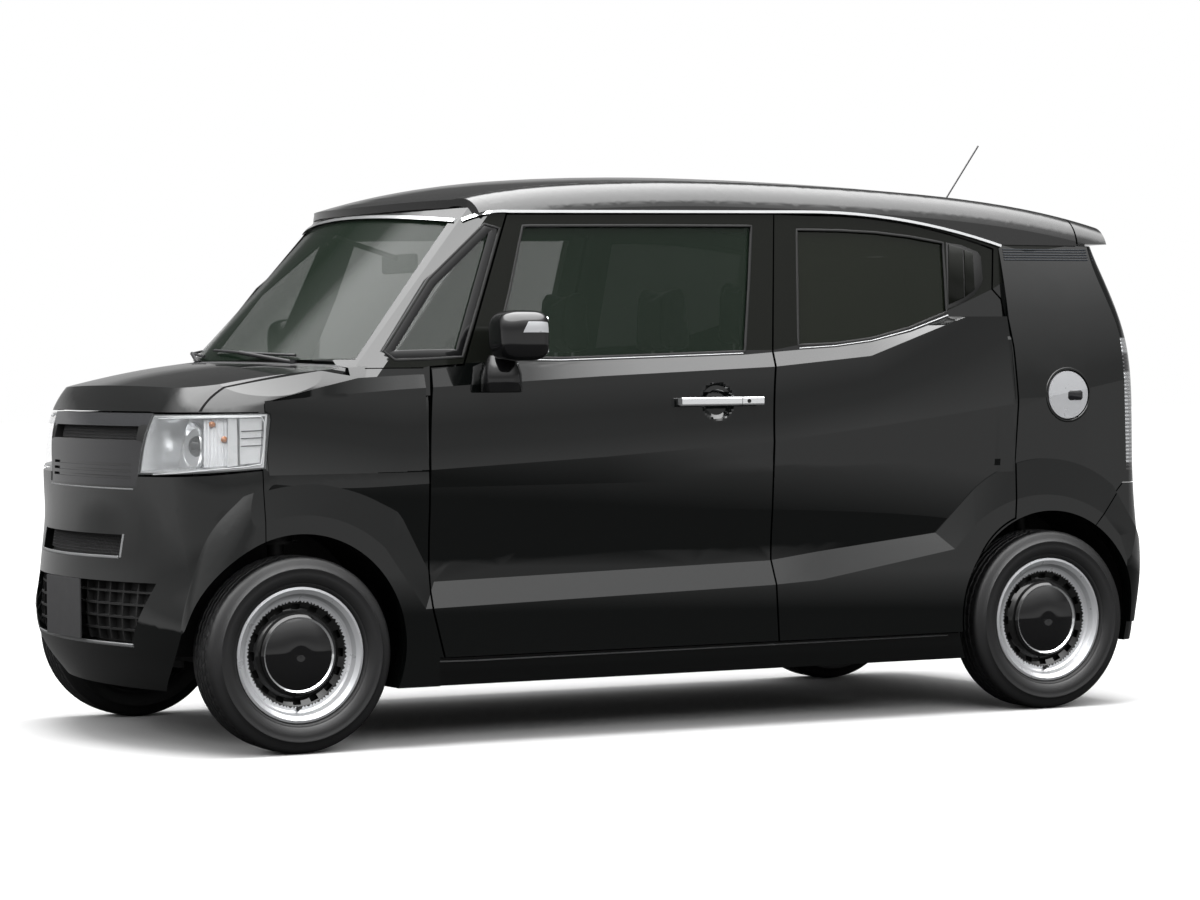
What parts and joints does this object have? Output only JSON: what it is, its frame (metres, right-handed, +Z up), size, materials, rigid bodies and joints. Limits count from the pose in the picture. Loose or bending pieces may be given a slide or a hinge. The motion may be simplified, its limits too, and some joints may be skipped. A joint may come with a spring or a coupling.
{
  "type": "kei car",
  "caption": "Five-door light passenger car with arched roof, steered front wheels, hinged doors, bonnet, tailgate and fuel lid.",
  "frame": {"origin": "on the ground, at the middle of the overall length and width", "axes": "+X forward, +Y to the car's left, +Z up"},
  "size_m": [3.3952, 1.8132, 1.7975],
  "materials": {
    "black_plastic": "grained",
    "body_paint": "high gloss near-black",
    "chassis_black": "matt",
    "chrome": "polished",
    "clear_glass": "clear, faint green",
    "dark_glass": "dark privacy tint",
    "engine_casting": "as cast",
    "exhaust_steel": "dull",
    "gloss_black": "high gloss",
    "lamp_lens": "clear lens",
    "lamp_reflector": "bright bowls in a dark surround",
    "plate_blank": "plain",
    "seat_fabric": "dark woven cloth",
    "tyre": "matt",
    "wheel_steel": "satin silver rim, black disc"
  },
  "bodies": {
    "car_body": {"antenna": "black_plastic", "bumper_grilles": "black_plastic", "cowl_panel": "black_plastic", "dashboard": "black_plastic", "engine": "engine_casting", "exhaust": "exhaust_steel", "floor_pan": "chassis_black", "front_bumper": "body_paint", "front_plate": "plate_blank", "front_seats": "seat_fabric", "front_subframe": "chassis_black", "front_wing_left": "body_paint", "front_wing_right": "body_paint", "fuel_tank": "chassis_black", "grille": "chrome", "headlamp_housings": "lamp_reflector", "headlamp_lenses": "lamp_lens", "inner_mirror": "black_plastic", "quarter_glasses": "clear_glass", "rear_axle": "chassis_black", "rear_bumper": "body_paint", "rear_seat": "seat_fabric", "roof_mouldings": "chrome", "roof_panel": "body_paint", "side_frame_left": "body_paint", "side_frame_right": "body_paint", "steering_column": "black_plastic", "tail_lamps": "lamp_lens", "windscreen": "clear_glass", "wipers": "black_plastic"},
    "bonnet": {"bonnet": "body_paint"},
    "fuel_lid": {"fuel_lid": "body_paint"},
    "tailgate": {"tailgate": "body_paint", "tailgate_glass": "dark_glass", "rear_plate": "plate_blank"},
    "front_door_left": {"front_door_left": "body_paint", "front_door_glass_left": "clear_glass", "door_mirror_left": "gloss_black", "front_door_handle_left": "chrome"},
    "rear_door_left": {"rear_door_left": "body_paint", "rear_door_glass_left": "dark_glass"},
    "knuckle_left": {"knuckle_left": "chassis_black"},
    "front_wheel_left": {"front_wheel_left": "wheel_steel", "front_tyre_left": "tyre"},
    "rear_wheel_left": {"rear_wheel_left": "wheel_steel", "rear_tyre_left": "tyre"},
    "front_door_right": {"front_door_right": "body_paint", "front_door_glass_right": "clear_glass", "door_mirror_right": "gloss_black", "front_door_handle_right": "chrome"},
    "rear_door_right": {"rear_door_right": "body_paint", "rear_door_glass_right": "dark_glass"},
    "knuckle_right": {"knuckle_right": "chassis_black"},
    "front_wheel_right": {"front_wheel_right": "wheel_steel", "front_tyre_right": "tyre"},
    "rear_wheel_right": {"rear_wheel_right": "wheel_steel", "rear_tyre_right": "tyre"},
    "steering_wheel": {"steering_wheel": "black_plastic"}
  },
  "joints": [
    {"name": "front_door_left_hinge", "type": "hinge", "parent": "car_body", "child": "front_door_left", "pos_m": [0.8525, 0.738, 0.7], "axis": [0, 0, 1], "range_deg": [-65, 0]},
    {"name": "front_door_right_hinge", "type": "hinge", "parent": "car_body", "child": "front_door_right", "pos_m": [0.8525, -0.738, 0.7], "axis": [0, 0, 1], "range_deg": [0, 65]},
    {"name": "rear_door_left_hinge", "type": "hinge", "parent": "car_body", "child": "rear_door_left", "pos_m": [-0.2735, 0.738, 0.7], "axis": [0, 0, 1], "range_deg": [-65, 0]},
    {"name": "rear_door_right_hinge", "type": "hinge", "parent": "car_body", "child": "rear_door_right", "pos_m": [-0.2735, -0.738, 0.7], "axis": [0, 0, 1], "range_deg": [0, 65]},
    {"name": "tailgate_hinge", "type": "hinge", "parent": "car_body", "child": "tailgate", "pos_m": [-1.4425, 0, 1.566], "axis": [0, 1, 0], "range_deg": [0, 80]},
    {"name": "bonnet_hinge", "type": "hinge", "parent": "car_body", "child": "bonnet", "pos_m": [1.0875, 0, 1.08], "axis": [0, 1, 0], "range_deg": [-60, 0]},
    {"name": "fuel_lid_hinge", "type": "hinge", "parent": "car_body", "child": "fuel_lid", "pos_m": [-1.2685, 0.727, 0.977], "axis": [0, 0, 1], "range_deg": [-90, 0]},
    {"name": "front_left_steer", "type": "hinge", "parent": "car_body", "child": "knuckle_left", "pos_m": [1.25, 0.525, 0.8], "axis": [0, -0.1051, 0.9945], "range_deg": [-35, 35]},
    {"name": "front_right_steer", "type": "hinge", "parent": "car_body", "child": "knuckle_right", "pos_m": [1.25, -0.525, 0.8], "axis": [0, 0.1051, 0.9945], "range_deg": [-35, 35]},
    {"name": "steering_wheel_turn", "type": "hinge", "parent": "car_body", "child": "steering_wheel", "pos_m": [0.5725, -0.33, 0.905], "axis": [-0.891, 0, 0.454], "range_deg": [-540, 540]},
    {"name": "front_left_spin", "type": "hinge", "parent": "knuckle_left", "child": "front_wheel_left", "pos_m": [1.25, 0.6525, 0.278], "axis": [0, 1, 0], "continuous": true},
    {"name": "front_right_spin", "type": "hinge", "parent": "knuckle_right", "child": "front_wheel_right", "pos_m": [1.25, -0.6525, 0.278], "axis": [0, 1, 0], "continuous": true},
    {"name": "rear_left_spin", "type": "hinge", "parent": "car_body", "child": "rear_wheel_left", "pos_m": [-1.27, 0.6525, 0.278], "axis": [0, 1, 0], "continuous": true},
    {"name": "rear_right_spin", "type": "hinge", "parent": "car_body", "child": "rear_wheel_right", "pos_m": [-1.27, -0.6525, 0.278], "axis": [0, 1, 0], "continuous": true}
  ],
  "couplings": [
    {"joint": "front_right_steer", "follows": "front_left_steer", "ratio": 1},
    {"joint": "steering_wheel_turn", "follows": "front_left_steer", "ratio": 15}
  ]
}
